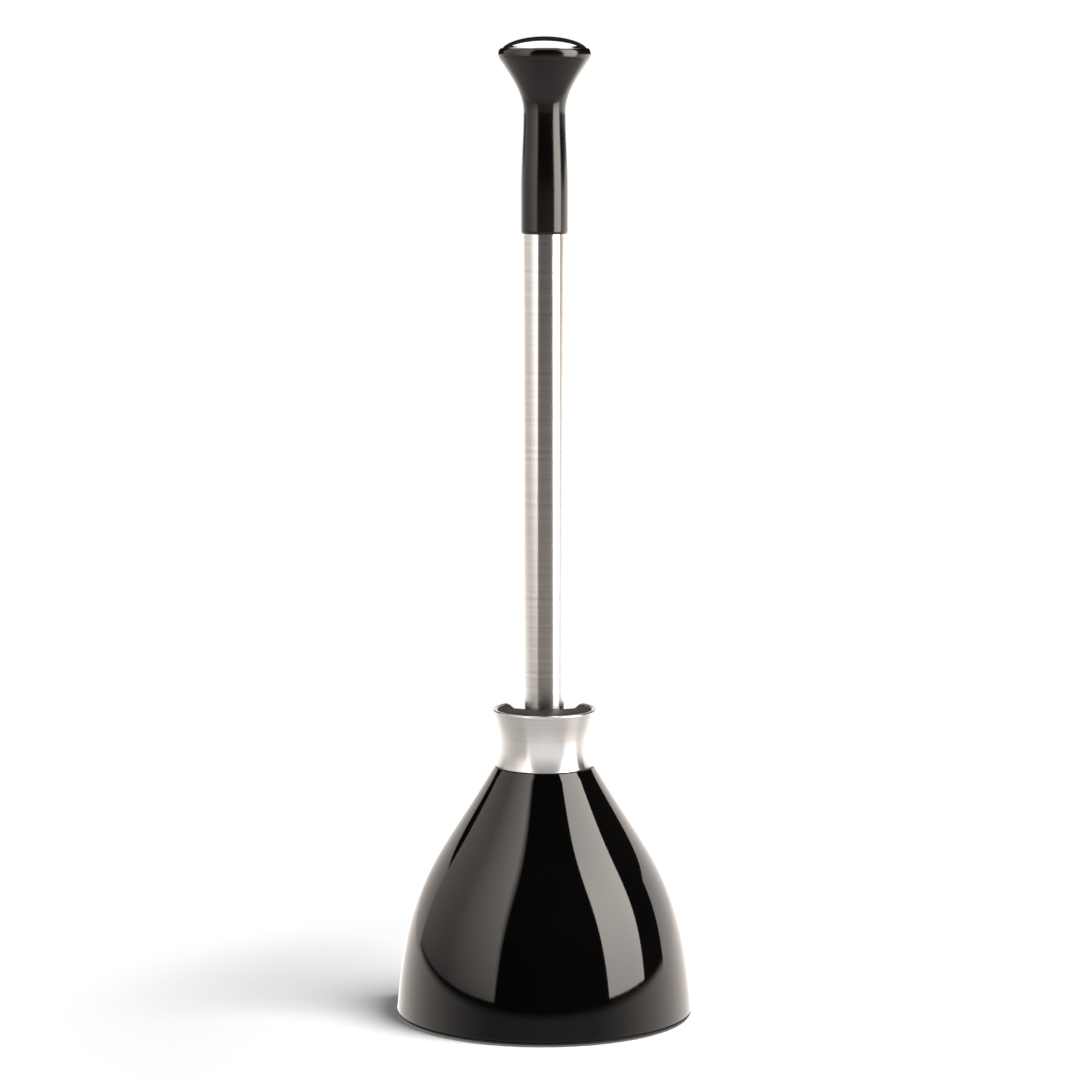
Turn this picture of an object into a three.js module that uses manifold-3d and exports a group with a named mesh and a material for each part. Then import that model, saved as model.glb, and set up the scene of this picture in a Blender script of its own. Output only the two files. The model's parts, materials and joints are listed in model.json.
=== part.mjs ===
// A toilet plunger standing in its open-backed caddy, in millimetres, +Z up.
// The origin is on the floor at the centre of the caddy's round base. The caddy's closed
// front faces -Y, and its open back, where the plunger slides out, faces +Y.

import * as THREE from "three";
import { mergeVertices } from "three/addons/utils/BufferGeometryUtils.js";
import Module from "manifold-3d";

const wasm = await Module();
wasm.setup();

// ---------------------------------------------------------------- driving dimensions

const GAP = 0.3; // clearance between neighbouring pieces
const ROUND = 48; // sides of a large turned piece
const MIDDLE_ROUND = 32; // sides of the rod, the grip and the rubber head
const SMALL_ROUND = 16; // sides of a screw, plug or foot

// The rod's axis stands behind the dome's axis, because the collar is open at the back.
const ROD_Y = 11.5;
const ROD_RADIUS = 12.5;
const ROD_WALL = 1.0;

// Dome: a cubic curve from the foot of the wall to the shoulder under the collar.
const BASE_RADIUS = 88;
const DOME_WALL = 2.6;
const DOME_BOTTOM = 2.7;
const SHOULDER_Z = 149.5;
const SHOULDER_RADIUS = 29.5;
const DOME_SIDE = new THREE.CubicBezierCurve(
  new THREE.Vector2(BASE_RADIUS, DOME_BOTTOM),
  new THREE.Vector2(81.9, 83.5),
  new THREE.Vector2(62.5, 92.9),
  new THREE.Vector2(SHOULDER_RADIUS, SHOULDER_Z),
);
const DOME_STEPS = 10;
const NECK_RADIUS = 24.8;
const NECK_WALL = 2.4;
const NECK_TOP = 181.1;
const NECK_FLOOR = 2.8;

// Back opening of the dome: upright sides at the foot, drawn in to the collar.
const OPENING_HALF_WIDTH = 75;
const OPENING_STRAIGHT_TOP = 28;

// Base tray, its ribs, feet and screws.
const TRAY_BOTTOM = 0.8;
const TRAY_TOP = 2.4;
const TRAY_CHAMFER = 1.4;
const LOCATING_RIM = { inner: 82.9, outer: 84.9, top: 7.0 };
const RIB = { count: 12, inner: 22, outer: 62, width: 1.6, top: 3.0 };
const FOOT = { radius: 7, height: 1.3, recess: 0.8, circle: 70, angles: [45, 135, 225, 315] };
const BASE_SCREW = { headRadius: 3.2, headHeight: 1.3, shankRadius: 1.6, length: 12 };
const BASE_SCREW_CIRCLE = 80.6;
const BASE_SCREW_ANGLES = [40, 97, 263, 320]; // measured round from the front
const BOSS = { radius: 5, bottom: 4.8, top: 18, bore: 1.9 };

// Collar: a stainless ring, waisted, with a rolled rim, round a black cradle for the rod.
const RING_WALL = 1.2;
const RING_BOTTOM = { radius: 29.0, z: SHOULDER_Z + GAP };
const RING_WAIST = { radius: 26.6, z: 160 };
const RING_RIM = { radius: 31.0, innerRadius: 28.3, z: 183.2, top: 183.9 };
const LINER_RADIUS = NECK_RADIUS - NECK_WALL - GAP;
const LINER_FLANGE = { radius: 28.0, bottom: NECK_TOP + GAP, top: 183.6, edge: 0.6 };
const CRADLE_RADIUS = 34.5;
const CRADLE_FRONT_Y = ROD_Y - ROD_RADIUS - GAP;
const CRADLE_HALF_WIDTH = 17.6;
const HORN = { x: 20.7, y: 18.6 };
const CLEAR = 60; // reach of a cutting body beyond what it cuts

// Magnets and their steel keeper, in a pocket of the cradle behind the rod.
const MAGNET = { width: 12, depth: 5, height: 12 };
const MAGNET_FRONT_WALL = 1.4;
const KEEPER = { width: 12, depth: 1.5, height: 26 };
const COLLAR_SCREW = { headRadius: 3.0, headHeight: 2.0, shankRadius: 1.4, length: 16 };
const COLLAR_SCREW_AT = { x: 12.5, y: -10 };

// Rubber head: a bell with a turned-out flange and a hub for the rod.
const HEAD_BOTTOM = 3.4;
const HUB_TOP = 133;
const SOCKET_FLOOR = 106;
const WEB_BOTTOM = 98;
const WEB_HOLE = 3.3;

// Rod, grip and what holds them together.
const ROD_BOTTOM = SOCKET_FLOOR + GAP;
const ROD_TOP = 489.7;
const ROD_BORE = ROD_RADIUS - ROD_WALL;
const ADAPTER = { height: 26, bore: 2.5, boreDepth: 20 };
const TOP_PLUG = { height: 24, bore: 2.3, boreDepth: 18 };
const WASHER = { radius: 13, bore: 2.5, thickness: 1.7 };
const HEAD_SCREW = { headRadius: 6, headHeight: 3.6, shankRadius: 2.2, length: 29 };
const GRIP_SCREW = { headRadius: 5, headHeight: 3.2, shankRadius: 2.0, length: 24 };
const GRIP_BOTTOM = 464.9;
const GRIP_RADIUS = 13.8;
const GRIP_NECK = { radius: 12.3, z: 535 };
const GRIP_WEB_TOP = 498;
const GRIP_TOP = 573.2;
const CAP_RECESS = { radius: 24.8, z: 571.4 };
const CAP_SKIRT = { outer: 20.9, inner: 19.7, bottom: 567.5 };
const CAP_RADIUS = 24.5;
const TOTAL_HEIGHT = 580;

// ---------------------------------------------------------------- materials

function material(color, roughness, metalness) {
  return new THREE.MeshStandardMaterial({ color, roughness, metalness });
}

const glossBlack = () => material(0x0d0d0e, 0.08, 0.0);
const matteBlack = () => material(0x2b2a2a, 0.6, 0.0);
const blackRubber = () => material(0x1b1a1a, 0.75, 0.0);
const brushedSteel = () => material(0xc9c5c1, 0.35, 1.0);
const polishedSteel = () => material(0xdedcda, 0.1, 1.0);
const platedSteel = () => material(0xb4b5b8, 0.3, 1.0);

// ---------------------------------------------------------------- shape tools

// A closed geometry as a manifold-3d solid.
function solid(geometry) {
  const bare = geometry.index ? geometry.toNonIndexed() : geometry.clone();
  bare.deleteAttribute("normal");
  bare.deleteAttribute("uv");
  const merged = mergeVertices(bare, 1e-4);
  return new wasm.Manifold(
    new wasm.Mesh({
      numProp: 3,
      vertProperties: merged.attributes.position.array,
      triVerts: new Uint32Array(merged.index.array),
    }),
  );
}

// A manifold-3d solid as a geometry.
function geometryOf(body) {
  const made = body.getMesh();
  const geometry = new THREE.BufferGeometry();
  geometry.setAttribute("position", new THREE.BufferAttribute(made.vertProperties, 3));
  geometry.setIndex(new THREE.BufferAttribute(made.triVerts, 1));
  geometry.computeVertexNormals();
  return geometry;
}

// A profile of [radius, height] turned round the Z axis. It runs up the outside and down the
// inside, and it closes on itself unless it starts on the axis.
function turned(profile, sides = ROUND) {
  const points = profile.map(([radius, z]) => new THREE.Vector2(radius, z));
  if (points[0].x > 0) points.push(points[0].clone());
  return new THREE.LatheGeometry(points, sides).rotateX(Math.PI / 2);
}

// A round bar, or a cutter for a round hole, between two heights.
function bar(radius, bottom, top, x = 0, y = 0) {
  const profile = [[0, bottom], [radius, bottom], [radius, top], [0, top]];
  return turned(profile, SMALL_ROUND).translate(x, y, 0);
}

// A round bar with a blind bore that opens at one end, and that end at z = 0.
function boredPlug(radius, { height, bore, boreDepth }) {
  const profile = [[bore, 0], [radius, 0], [radius, height], [0, height]];
  profile.unshift([0, boreDepth], [bore, boreDepth]);
  return turned(profile, SMALL_ROUND);
}

// A pan-head screw that points up, with the outer face of its head at z = 0.
function screw({ headRadius, headHeight, shankRadius, length }) {
  const edge = 0.3 * headHeight;
  const tip = shankRadius;
  return turned([
    [0, 0],
    [headRadius - edge, 0],
    [headRadius, edge],
    [headRadius, headHeight],
    [shankRadius, headHeight],
    [shankRadius, headHeight + length - tip],
    [0, headHeight + length],
  ], SMALL_ROUND);
}

// A box between two corners.
function block([x0, y0, z0], [x1, y1, z1]) {
  const box = new THREE.BoxGeometry(x1 - x0, y1 - y0, z1 - z0);
  return box.translate((x0 + x1) / 2, (y0 + y1) / 2, (z0 + z1) / 2);
}

// [radius, height] points along a cubic curve, moved inward by a distance but not below its foot.
function along(curve, steps, inward = 0) {
  return Array.from({ length: steps + 1 }, (_, step) => {
    const point = curve.getPoint(step / steps);
    const tangent = curve.getTangent(step / steps);
    const z = point.y + tangent.x * inward;
    return [point.x - tangent.y * inward, step === 0 ? curve.v0.y : z];
  });
}

function cubic(from, leave, arrive, to, steps) {
  const points = [from, leave, arrive, to].map(([radius, z]) => new THREE.Vector2(radius, z));
  return along(new THREE.CubicBezierCurve(...points), steps);
}

// The place on a circle round the Z axis, its angle measured from the front.
function onCircle(radius, degrees) {
  const angle = THREE.MathUtils.degToRad(degrees);
  return { x: radius * Math.sin(angle), y: -radius * Math.cos(angle) };
}

function part(name, shape, look) {
  const geometry = shape.isBufferGeometry ? shape : geometryOf(shape);
  const mesh = new THREE.Mesh(geometry, look);
  mesh.name = name;
  return mesh;
}

// ---------------------------------------------------------------- cutting bodies

// The dome's back opening, seen from behind, cut from the middle of the dome backwards.
function backOpening() {
  const collarHalfWidth = Math.sqrt(SHOULDER_RADIUS ** 2 - HORN.y ** 2);
  const outline = new THREE.Shape();
  outline.moveTo(OPENING_HALF_WIDTH, -CLEAR);
  outline.lineTo(OPENING_HALF_WIDTH, OPENING_STRAIGHT_TOP);
  outline.bezierCurveTo(OPENING_HALF_WIDTH, 82, 46, 92, collarHalfWidth, SHOULDER_Z);
  outline.lineTo(-collarHalfWidth, SHOULDER_Z);
  outline.bezierCurveTo(-46, 92, -OPENING_HALF_WIDTH, 82, -OPENING_HALF_WIDTH, OPENING_STRAIGHT_TOP);
  outline.lineTo(-OPENING_HALF_WIDTH, -CLEAR);
  const depth = BASE_RADIUS + CLEAR;
  const cutter = new THREE.ExtrudeGeometry(outline, { depth, bevelEnabled: false, curveSegments: 10 });
  return solid(cutter.rotateX(Math.PI / 2).translate(0, depth, 0));
}

// The rod's way through the collar, in plan: a shallow cradle between two horns.
function rodSlot(bottom) {
  const centre = CRADLE_FRONT_Y + CRADLE_RADIUS;
  const halfAngle = Math.asin(CRADLE_HALF_WIDTH / CRADLE_RADIUS);
  const down = -Math.PI / 2;
  const outline = new THREE.Shape();
  outline.moveTo(CLEAR, CLEAR);
  outline.lineTo(-CLEAR, CLEAR);
  outline.lineTo(-CLEAR, HORN.y);
  outline.lineTo(-HORN.x, HORN.y);
  outline.absarc(0, centre, CRADLE_RADIUS, down - halfAngle, down + halfAngle, false);
  outline.lineTo(HORN.x, HORN.y);
  outline.lineTo(CLEAR, HORN.y);
  const depth = CLEAR;
  const cutter = new THREE.ExtrudeGeometry(outline, { depth, bevelEnabled: false, curveSegments: 12 });
  return solid(cutter.translate(0, 0, bottom));
}

// ---------------------------------------------------------------- caddy

// Where the dome's inner face meets the underside of the neck's floor.
const FLOOR_BOTTOM = along(DOME_SIDE, 1, DOME_WALL)[1][1];
const FLOOR_TOP = FLOOR_BOTTOM + NECK_FLOOR;
const LINER_BOTTOM = FLOOR_TOP + GAP;

function caddyDome() {
  // From the axis under the neck's floor, down the inside, up the outside and back over the neck.
  let dome = solid(turned([
    [0, FLOOR_BOTTOM],
    ...along(DOME_SIDE, DOME_STEPS, DOME_WALL).reverse(),
    ...along(DOME_SIDE, DOME_STEPS),
    [NECK_RADIUS, SHOULDER_Z],
    [NECK_RADIUS, NECK_TOP],
    [NECK_RADIUS - NECK_WALL, NECK_TOP],
    [NECK_RADIUS - NECK_WALL, FLOOR_TOP],
    [0, FLOOR_TOP],
  ]));
  dome = dome.subtract(backOpening()).subtract(rodSlot(FLOOR_BOTTOM - GAP));
  for (const angle of BASE_SCREW_ANGLES) {
    const { x, y } = onCircle(BASE_SCREW_CIRCLE, angle);
    dome = dome.add(solid(bar(BOSS.radius, BOSS.bottom, BOSS.top, x, y)));
    dome = dome.subtract(solid(bar(BOSS.bore, 0, BOSS.top - DOME_WALL, x, y)));
  }
  for (const side of [-1, 1]) {
    const x = side * COLLAR_SCREW_AT.x;
    const hole = bar(COLLAR_SCREW.shankRadius + GAP, SHOULDER_Z - 10, SHOULDER_Z + 10, x, COLLAR_SCREW_AT.y);
    dome = dome.subtract(solid(hole));
  }
  return part("caddy_dome", dome, glossBlack());
}

function baseTray() {
  let tray = solid(turned([
    [0, TRAY_BOTTOM],
    [BASE_RADIUS - TRAY_CHAMFER, TRAY_BOTTOM],
    [BASE_RADIUS, TRAY_TOP - 0.4],
    [BASE_RADIUS, TRAY_TOP],
    [LOCATING_RIM.outer, TRAY_TOP],
    [LOCATING_RIM.outer, LOCATING_RIM.top],
    [LOCATING_RIM.inner, LOCATING_RIM.top],
    [LOCATING_RIM.inner, TRAY_TOP],
    [0, TRAY_TOP],
  ]));
  // The locating rim stops at the back opening and at the dome's screw bosses.
  const reach = OPENING_HALF_WIDTH + 2;
  tray = tray.subtract(solid(block([-reach, 0, TRAY_TOP], [reach, BASE_RADIUS + 1, CLEAR])));
  for (const angle of BASE_SCREW_ANGLES) {
    const { x, y } = onCircle(BASE_SCREW_CIRCLE, angle);
    const headRadius = BASE_SCREW.headRadius + GAP;
    const headTop = TRAY_TOP + GAP;
    tray = tray.subtract(solid(bar(BOSS.radius + 2 * GAP, TRAY_TOP, CLEAR, x, y)));
    tray = tray.add(solid(bar(BOSS.radius - 2 * GAP, TRAY_BOTTOM, BOSS.bottom - GAP, x, y)));
    tray = tray.subtract(solid(bar(headRadius, 0, headTop, x, y)));
    tray = tray.subtract(solid(bar(BOSS.bore, 0, CLEAR, x, y)));
  }
  for (const angle of FOOT.angles) {
    const { x, y } = onCircle(FOOT.circle, angle);
    tray = tray.subtract(solid(bar(FOOT.radius + GAP, 0, TRAY_BOTTOM + FOOT.recess, x, y)));
  }
  for (let index = 0; index < RIB.count; index += 1) {
    const turn = THREE.MathUtils.degToRad((index * 360) / RIB.count);
    const rib = block([RIB.inner, -RIB.width / 2, TRAY_BOTTOM + 1], [RIB.outer, RIB.width / 2, RIB.top]);
    tray = tray.add(solid(rib.rotateZ(turn)));
  }
  return part("base_tray", tray, matteBlack());
}

function rubberFeet() {
  return FOOT.angles.map((angle, index) => {
    const edge = 0.3;
    const foot = turned([
      [0, 0],
      [FOOT.radius - edge, 0],
      [FOOT.radius, edge],
      [FOOT.radius, FOOT.height],
      [0, FOOT.height],
    ], SMALL_ROUND);
    const mesh = part(`rubber_foot_${index + 1}`, foot, blackRubber());
    const { x, y } = onCircle(FOOT.circle, angle);
    mesh.position.set(x, y, 0);
    return mesh;
  });
}

function baseScrews() {
  return BASE_SCREW_ANGLES.map((angle, index) => {
    const mesh = part(`base_screw_${index + 1}`, screw(BASE_SCREW), platedSteel());
    const { x, y } = onCircle(BASE_SCREW_CIRCLE, angle);
    mesh.position.set(x, y, TRAY_TOP - BASE_SCREW.headHeight);
    return mesh;
  });
}

function collarRing() {
  const outside = [
    ...cubic(
      [RING_BOTTOM.radius, RING_BOTTOM.z], [27.2, 153.2],
      [RING_WAIST.radius, 156.5], [RING_WAIST.radius, RING_WAIST.z], 4,
    ),
    ...cubic(
      [RING_WAIST.radius, RING_WAIST.z], [RING_WAIST.radius, 168],
      [28.4, 174.5], [RING_RIM.radius, RING_RIM.z], 6,
    ).slice(1),
  ];
  const rim = [
    [RING_RIM.radius - 0.5, RING_RIM.top],
    [RING_RIM.innerRadius, RING_RIM.top],
    [RING_RIM.innerRadius, RING_RIM.top - 2 * RING_WALL],
  ];
  const inside = outside.slice(0, -1).map(([radius, z]) => [radius - RING_WALL, z]).reverse();
  const ring = solid(turned([...outside, ...rim, ...inside]));
  return part("collar_ring", ring.subtract(rodSlot(SHOULDER_Z)), brushedSteel());
}

// The pocket's walls as seen from above: the magnets stand in front of the keeper's plate.
const POCKET_BACK = CRADLE_FRONT_Y - MAGNET_FRONT_WALL;
const MAGNET_BACK = POCKET_BACK - GAP;
const MAGNET_FRONT = MAGNET_BACK - MAGNET.depth;
const KEEPER_BACK = MAGNET_FRONT - GAP;
const KEEPER_FRONT = KEEPER_BACK - KEEPER.depth;
const POCKET_BOTTOM = LINER_BOTTOM + 1;

function collarLiner() {
  const { radius, bottom, top, edge } = LINER_FLANGE;
  let liner = solid(turned([
    [0, LINER_BOTTOM],
    [LINER_RADIUS, LINER_BOTTOM],
    [LINER_RADIUS, bottom],
    [radius, bottom],
    [radius, top - edge],
    [radius - edge, top],
    [0, top],
  ]));
  liner = liner.subtract(rodSlot(SHOULDER_Z - 10));
  const halfWidth = MAGNET.width / 2 + GAP;
  const pocketTop = POCKET_BOTTOM + KEEPER.height + GAP;
  const pocket = block([-halfWidth, KEEPER_FRONT - GAP, 0], [halfWidth, POCKET_BACK, pocketTop]);
  liner = liner.subtract(solid(pocket));
  for (const side of [-1, 1]) {
    const x = side * COLLAR_SCREW_AT.x;
    const bore = bar(COLLAR_SCREW.shankRadius + GAP, 0, LINER_BOTTOM + 14, x, COLLAR_SCREW_AT.y);
    liner = liner.subtract(solid(bore));
  }
  return part("collar_liner", liner, matteBlack());
}

function magnets() {
  return ["lower", "upper"].map((place, index) => {
    const bottom = POCKET_BOTTOM + GAP + index * (MAGNET.height + 1);
    const halfWidth = MAGNET.width / 2;
    const shape = block([-halfWidth, MAGNET_FRONT, bottom], [halfWidth, MAGNET_BACK, bottom + MAGNET.height]);
    return part(`magnet_${place}`, shape, platedSteel());
  });
}

function magnetKeeper() {
  const halfWidth = KEEPER.width / 2;
  const low = [-halfWidth, KEEPER_FRONT, POCKET_BOTTOM];
  const high = [halfWidth, KEEPER_BACK, POCKET_BOTTOM + KEEPER.height];
  return part("magnet_keeper", block(low, high), platedSteel());
}

function collarScrews() {
  return [["left", -1], ["right", 1]].map(([place, side]) => {
    const mesh = part(`collar_screw_${place}`, screw(COLLAR_SCREW), platedSteel());
    const headTop = FLOOR_BOTTOM - GAP;
    mesh.position.set(side * COLLAR_SCREW_AT.x, COLLAR_SCREW_AT.y, headTop - COLLAR_SCREW.headHeight);
    return mesh;
  });
}

// ---------------------------------------------------------------- plunger

// One rubber moulding: flange, bell, hub, socket for the rod and the web under it.
function rubberHead() {
  const socket = ROD_RADIUS + GAP;
  const flangeOutside = cubic([38.5, HEAD_BOTTOM], [41, 18], [45, 34], [54, 35], 4);
  const lip = [[62, 34.5], [65.2, 30], [65.2, 20], [66.6, 18.2], [68.2, 18.6]];
  const bell = cubic([69, 20.5], [69, 55], [34, 84], [19.5, 100], 9);
  const hub = [[18, 105], [17.5, 126], [18.8, 128.5], [18.8, 131.5], [17.3, HUB_TOP]];
  const bore = [[socket, HUB_TOP], [socket, SOCKET_FLOOR], [WEB_HOLE, SOCKET_FLOOR], [WEB_HOLE, WEB_BOTTOM]];
  const bellInside = cubic([15, WEB_BOTTOM], [36, 80], [64, 52], [56, 39], 7);
  const flangeInside = cubic([56, 39], [43, 37], [37.5, 18], [35.5, HEAD_BOTTOM], 4).slice(1);
  const profile = [...flangeOutside, ...lip, ...bell, ...hub, ...bore, ...bellInside, ...flangeInside];
  return part("rubber_head", turned(profile, MIDDLE_ROUND), blackRubber());
}

function rod() {
  const profile = [[ROD_BORE, ROD_BOTTOM], [ROD_RADIUS, ROD_BOTTOM], [ROD_RADIUS, ROD_TOP], [ROD_BORE, ROD_TOP]];
  return part("rod_tube", turned(profile, MIDDLE_ROUND), brushedSteel());
}

// The plug in the rod's foot, which takes the screw that clamps the rubber head.
function headAdapter() {
  const mesh = part("head_adapter", boredPlug(ROD_BORE - GAP, ADAPTER), matteBlack());
  mesh.position.z = ROD_BOTTOM;
  return mesh;
}

function headWasher() {
  const { radius, bore, thickness } = WASHER;
  const profile = [[bore, 0], [radius, 0], [radius, thickness], [bore, thickness]];
  const mesh = part("head_washer", turned(profile, SMALL_ROUND), platedSteel());
  mesh.position.z = WEB_BOTTOM - GAP - thickness;
  return mesh;
}

function headScrew() {
  const mesh = part("head_screw", screw(HEAD_SCREW), platedSteel());
  mesh.position.z = WEB_BOTTOM - 2 * GAP - WASHER.thickness - HEAD_SCREW.headHeight;
  return mesh;
}

// The plug in the rod's top, bored from above for the screw that holds the grip.
function topPlug() {
  const mesh = part("rod_top_plug", boredPlug(ROD_BORE - GAP, TOP_PLUG), matteBlack());
  mesh.rotation.x = Math.PI;
  mesh.position.z = ROD_TOP;
  return mesh;
}

function gripScrew() {
  const mesh = part("grip_screw", screw(GRIP_SCREW), platedSteel());
  mesh.rotation.x = Math.PI;
  mesh.position.z = GRIP_WEB_TOP + GAP + GRIP_SCREW.headHeight;
  return mesh;
}

// A sleeve over the rod, a slim neck, and a flared knob with a recess for its cap.
function grip() {
  const socket = ROD_RADIUS + GAP;
  const fillet = 2.4;
  const foot = [
    [socket, GRIP_BOTTOM + 0.3],
    [socket + 0.2, GRIP_BOTTOM],
    [GRIP_RADIUS - 0.5, GRIP_BOTTOM + 0.2],
    [GRIP_RADIUS - 0.1, GRIP_BOTTOM + fillet / 2],
    [GRIP_RADIUS, GRIP_BOTTOM + fillet],
  ];
  const shaft = cubic([GRIP_RADIUS, 488], [GRIP_RADIUS, 508], [12.5, 516], [GRIP_NECK.radius, GRIP_NECK.z], 4);
  const flare = cubic([GRIP_NECK.radius, GRIP_NECK.z], [12.2, 546], [17.5, 554], [26.2, 566.6], 7).slice(1);
  const rim = cubic([26.2, 566.6], [27.3, 568.2], [27.6, 572.6], [25.2, GRIP_TOP], 4).slice(1);
  const recess = [
    [CAP_RECESS.radius, GRIP_TOP],
    [CAP_RECESS.radius, CAP_RECESS.z],
    [CAP_SKIRT.outer + 2 * GAP, CAP_RECESS.z],
    [CAP_SKIRT.outer + 2 * GAP, CAP_SKIRT.bottom - 1],
  ];
  const hollow = [[17.5, 561], [12.5, 553], [8.8, 540], [8.5, GRIP_WEB_TOP]];
  const screwHole = GRIP_SCREW.shankRadius + GAP;
  const web = [[screwHole, GRIP_WEB_TOP], [screwHole, ROD_TOP + GAP], [socket, ROD_TOP + GAP]];
  const profile = [...foot, ...shaft, ...flare, ...rim, ...recess, ...hollow, ...web];
  return part("grip", turned(profile, MIDDLE_ROUND), glossBlack());
}

function gripCap() {
  const sheet = 1.0;
  const edge = [CAP_RADIUS, CAP_RECESS.z + GAP];
  const crown = cubic([CAP_RADIUS, GRIP_TOP], [22.5, 576.4], [13, TOTAL_HEIGHT], [0, TOTAL_HEIGHT], 6);
  const under = cubic(
    [0, TOTAL_HEIGHT - sheet], [13, TOTAL_HEIGHT - sheet],
    [CAP_SKIRT.inner, 576.4], [CAP_SKIRT.inner, 574.6], 4,
  );
  const skirt = [
    [CAP_SKIRT.inner, CAP_SKIRT.bottom],
    [CAP_SKIRT.outer, CAP_SKIRT.bottom],
    [CAP_SKIRT.outer, CAP_RECESS.z + GAP],
  ];
  // It starts and ends on the axis, from the underside of the crown round to its top.
  return part("grip_cap", turned([...under, ...skirt, edge, ...crown], MIDDLE_ROUND), polishedSteel());
}

// ---------------------------------------------------------------- assembly

const caddy = new THREE.Group();
caddy.add(caddyDome(), baseTray(), ...rubberFeet(), ...baseScrews());
caddy.add(collarRing(), collarLiner(), ...magnets(), magnetKeeper(), ...collarScrews());

const plunger = new THREE.Group();
plunger.position.y = ROD_Y;
plunger.add(rubberHead(), rod(), headAdapter(), headWasher(), headScrew());
plunger.add(topPlug(), grip(), gripScrew(), gripCap());

const group = new THREE.Group();
group.add(caddy, plunger);

export default group;
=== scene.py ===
"""A toilet plunger standing in its open-backed caddy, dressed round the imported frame.

Shapes are written in millimetres and become metres when their mesh is made. The caddy's
closed front faces -Y, and angles round it are measured from the front.
"""
import json
import math

import bmesh
import bpy
import numpy as np
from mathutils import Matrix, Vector


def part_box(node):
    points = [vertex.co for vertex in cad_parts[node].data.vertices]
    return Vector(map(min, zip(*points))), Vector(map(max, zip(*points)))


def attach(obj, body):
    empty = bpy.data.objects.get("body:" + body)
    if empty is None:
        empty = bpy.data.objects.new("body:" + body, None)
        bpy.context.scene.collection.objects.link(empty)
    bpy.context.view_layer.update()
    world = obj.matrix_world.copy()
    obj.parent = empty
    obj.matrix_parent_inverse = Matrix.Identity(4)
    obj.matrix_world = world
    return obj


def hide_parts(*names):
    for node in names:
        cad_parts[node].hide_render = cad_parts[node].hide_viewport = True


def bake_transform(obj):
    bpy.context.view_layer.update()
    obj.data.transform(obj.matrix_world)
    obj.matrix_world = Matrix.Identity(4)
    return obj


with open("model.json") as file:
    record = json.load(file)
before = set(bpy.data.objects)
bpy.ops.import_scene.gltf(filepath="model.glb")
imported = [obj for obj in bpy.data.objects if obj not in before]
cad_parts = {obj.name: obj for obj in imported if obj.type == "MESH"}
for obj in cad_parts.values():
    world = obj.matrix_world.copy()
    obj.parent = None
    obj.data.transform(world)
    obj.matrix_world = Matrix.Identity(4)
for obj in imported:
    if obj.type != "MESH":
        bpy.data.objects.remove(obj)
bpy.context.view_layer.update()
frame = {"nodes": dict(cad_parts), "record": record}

MM = 0.001


def middle(node):
    """Middle of a CAD node in plan, in millimetres."""
    low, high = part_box(node)
    return ((low.x + high.x) / 2 / MM, (low.y + high.y) / 2 / MM)


def heights(node):
    """Lowest and highest z of a CAD node, in millimetres."""
    low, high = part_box(node)
    return low.z / MM, high.z / MM


# ------------------------------------------------------------------ driving dimensions

ROUND = 192  # sides of a large turned piece
MIDDLE_ROUND = 128  # sides of the rod and what is turned round it
SMALL_ROUND = 48  # sides of a screw, boss or foot

CADDY_AXIS = (0.0, 0.0)
ROD_AXIS = middle("rod_tube")
ROD_BOTTOM, ROD_TOP = heights("rod_tube")
ROD_RADIUS = 12.5
ROD_WALL = 1.0

DOME_BOTTOM = heights("caddy_dome")[0]
SHOULDER_Z = 149.5
SHOULDER_RADIUS = 29.5
DOME_SIDE = ((88, DOME_BOTTOM), (81.9, 83.5), (62.5, 92.9), (SHOULDER_RADIUS, SHOULDER_Z))
DOME_WALL = 2.6
DOME_STEPS = 72
NECK_RADIUS = 24.8
NECK_WALL = 2.4
NECK_TOP = heights("caddy_dome")[1]
NECK_FLOOR = 2.8
BOSS = {"radius": 5, "bottom": 4.8, "top": 18, "bore": 1.9, "depth": 10.6}

OPENING_HALF_WIDTH = 75
OPENING_STRAIGHT_TOP = 28

HORN_X, HORN_Y = 20.7, 18.6
CRADLE_RADIUS = 34.5
CRADLE_HALF_WIDTH = 17.6
CRADLE_FRONT_Y = ROD_AXIS[1] - ROD_RADIUS - 0.3
CRADLE_CENTRE_Y = CRADLE_FRONT_Y + CRADLE_RADIUS
CRADLE_END_Y = CRADLE_CENTRE_Y - math.sqrt(CRADLE_RADIUS**2 - CRADLE_HALF_WIDTH**2)

# ------------------------------------------------------------------ curves and outlines


def cubic(start, leave, arrive, end, steps):
    """Points along a cubic curve."""
    t = np.linspace(0, 1, steps + 1)[:, None]
    start, leave, arrive, end = (np.array(p, float) for p in (start, leave, arrive, end))
    near = (1 - t) ** 3 * start + 3 * (1 - t) ** 2 * t * leave
    return near + 3 * (1 - t) * t**2 * arrive + t**3 * end


def moved_in(points, distance):
    """An outline of (radius, z) moved towards the axis, at right angles to itself."""
    along = np.gradient(points, axis=0)
    along /= np.linalg.norm(along, axis=1)[:, None]
    return points + np.stack([-along[:, 1], along[:, 0]], axis=1) * distance


def filleted(corners, steps=5):
    """A closed outline of (radius, z, fillet) corners, with each fillet turned to an arc."""
    made = []
    flat = [np.array(c[:2], float) for c in corners]
    for index, corner in enumerate(corners):
        here = flat[index]
        reach = corner[2] if len(corner) > 2 else 0
        if not reach:
            made.append(here)
            continue
        back = flat[index - 1] - here
        ahead = flat[(index + 1) % len(flat)] - here
        start = here + back / np.linalg.norm(back) * reach
        end = here + ahead / np.linalg.norm(ahead) * reach
        for t in np.linspace(0, 1, steps + 1):
            made.append((1 - t) ** 2 * start + 2 * (1 - t) * t * here + t * t * end)
    return made + [made[0]]


def bisect(inside, low, high):
    """Where a test that holds at low stops holding on the way to high."""
    for _ in range(30):
        mid = (low + high) / 2
        if inside(mid):
            low = mid
        else:
            high = mid
    return low


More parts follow.
